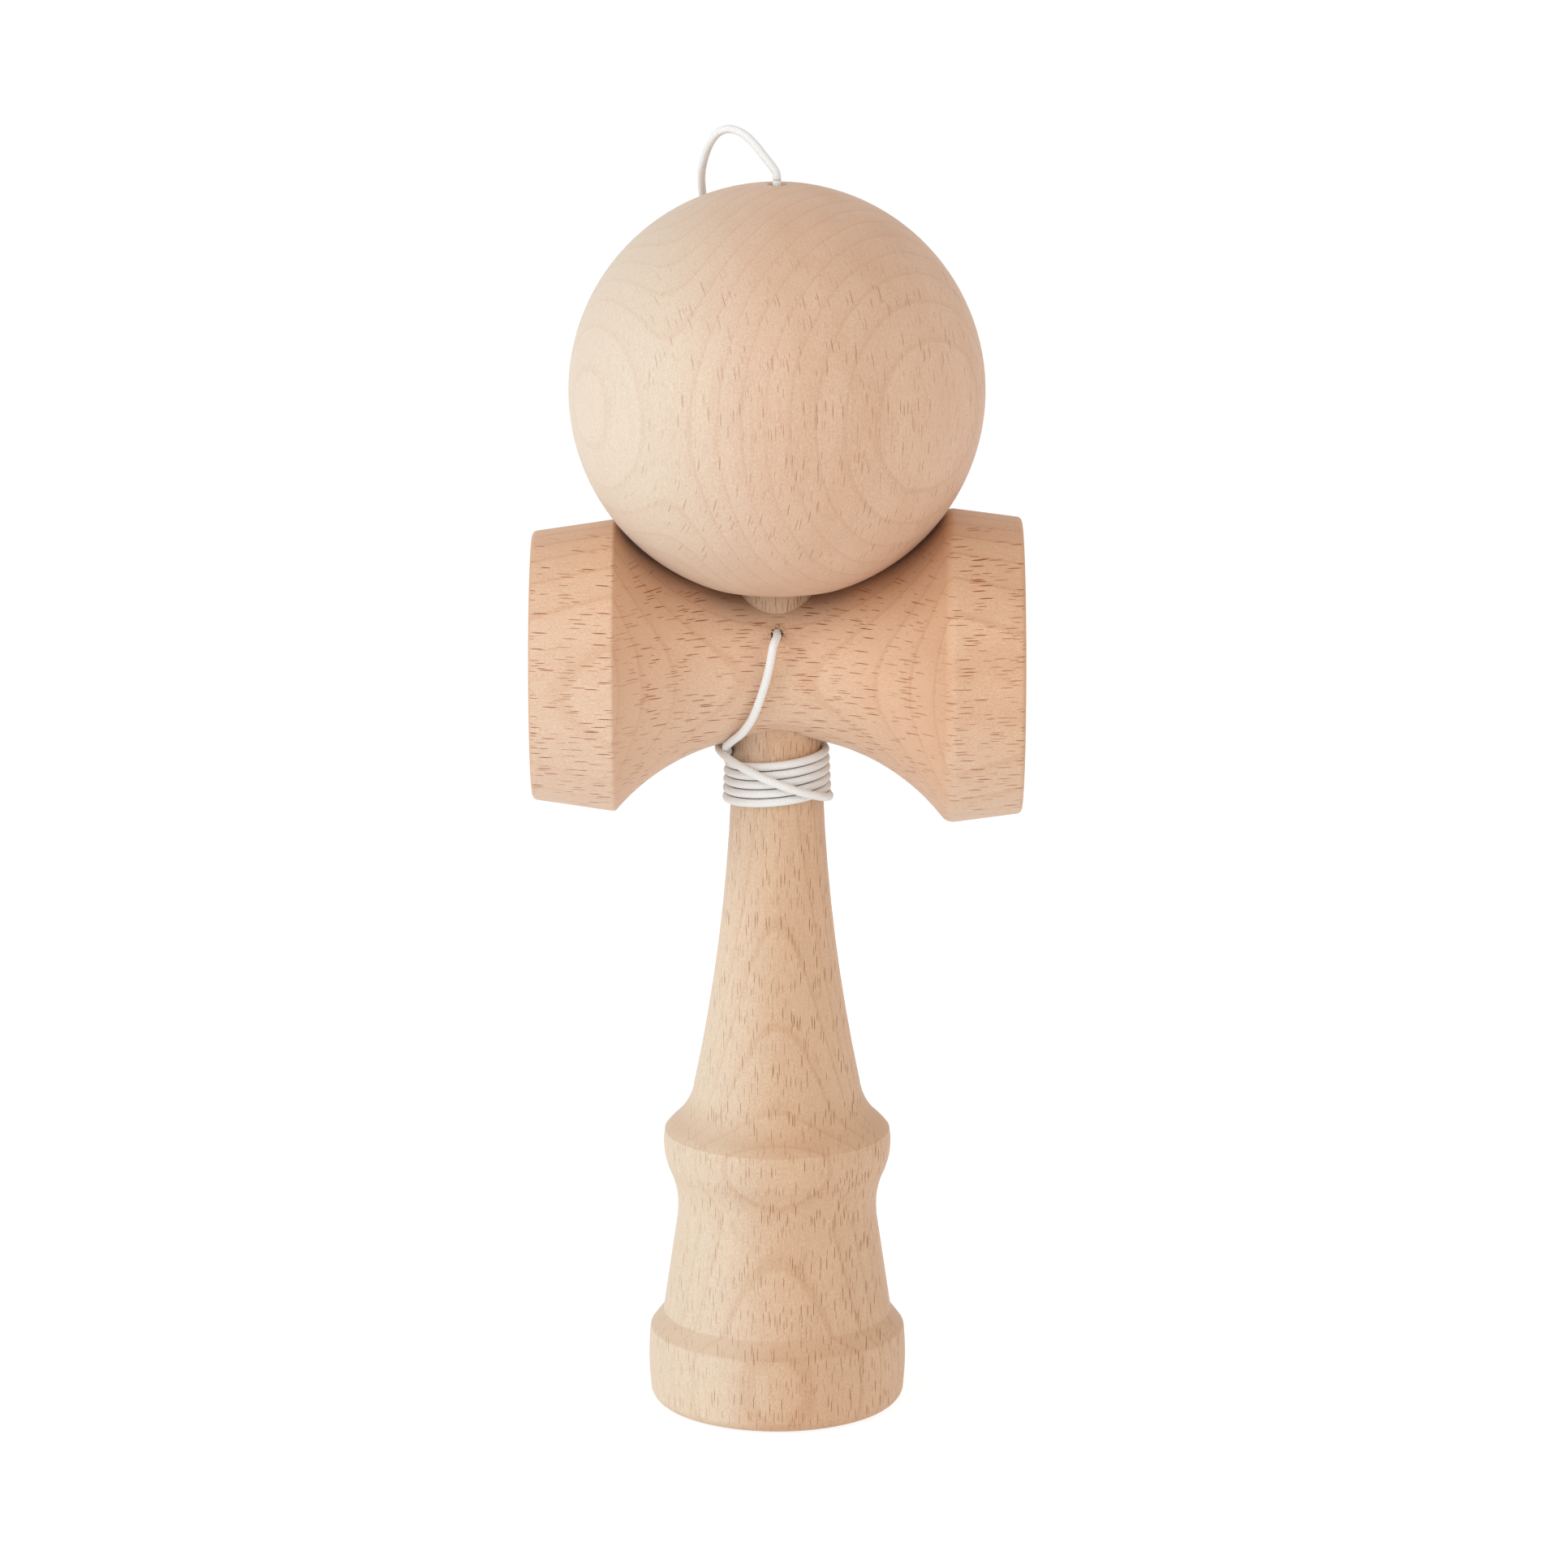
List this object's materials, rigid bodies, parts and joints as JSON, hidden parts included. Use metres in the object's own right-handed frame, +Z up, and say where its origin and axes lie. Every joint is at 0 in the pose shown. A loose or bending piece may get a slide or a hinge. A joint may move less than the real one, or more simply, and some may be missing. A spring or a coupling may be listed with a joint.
{
  "type": "cup and ball toy",
  "caption": "Turned wooden cup and ball toy: a handle with a base cup and a spike, a crosspiece with a cup at each end, and a bored ball on a string.",
  "frame": {"origin": "centre of the base cup's rim, on the surface that the toy stands on", "axes": "+Z up along the handle to the spike, +X towards the big cup, -Y to the front, where the string comes out of the crosspiece"},
  "size_m": [0.0704, 0.0605, 0.1879],
  "materials": {
    "handle_wood": "bare sanded beech",
    "crosspiece_wood": "bare sanded beech",
    "ball_wood": "bare sanded beech",
    "bead_wood": "bare",
    "string": "braided, matt"
  },
  "bodies": {
    "handle": {"handle": "handle_wood", "cup_crosspiece": "crosspiece_wood", "string_handle_end": "string", "string_front": "string", "string_winding": "string", "string_riser": "string"},
    "bead": {"swivel_bead": "bead_wood", "string_ball_end": "string", "string_loop": "string"},
    "ball": {"ball": "ball_wood"}
  },
  "joints": [
    {"name": "ball_lift", "type": "slide", "parent": "handle", "child": "bead", "axis": [0, 0, 1], "range_m": [0, 0.045], "deforming": ["string_riser"]},
    {"name": "ball_spin", "type": "hinge", "parent": "bead", "child": "ball", "pos_m": [0, 0, 0.1506], "axis": [0, 0, 1], "continuous": true}
  ]
}
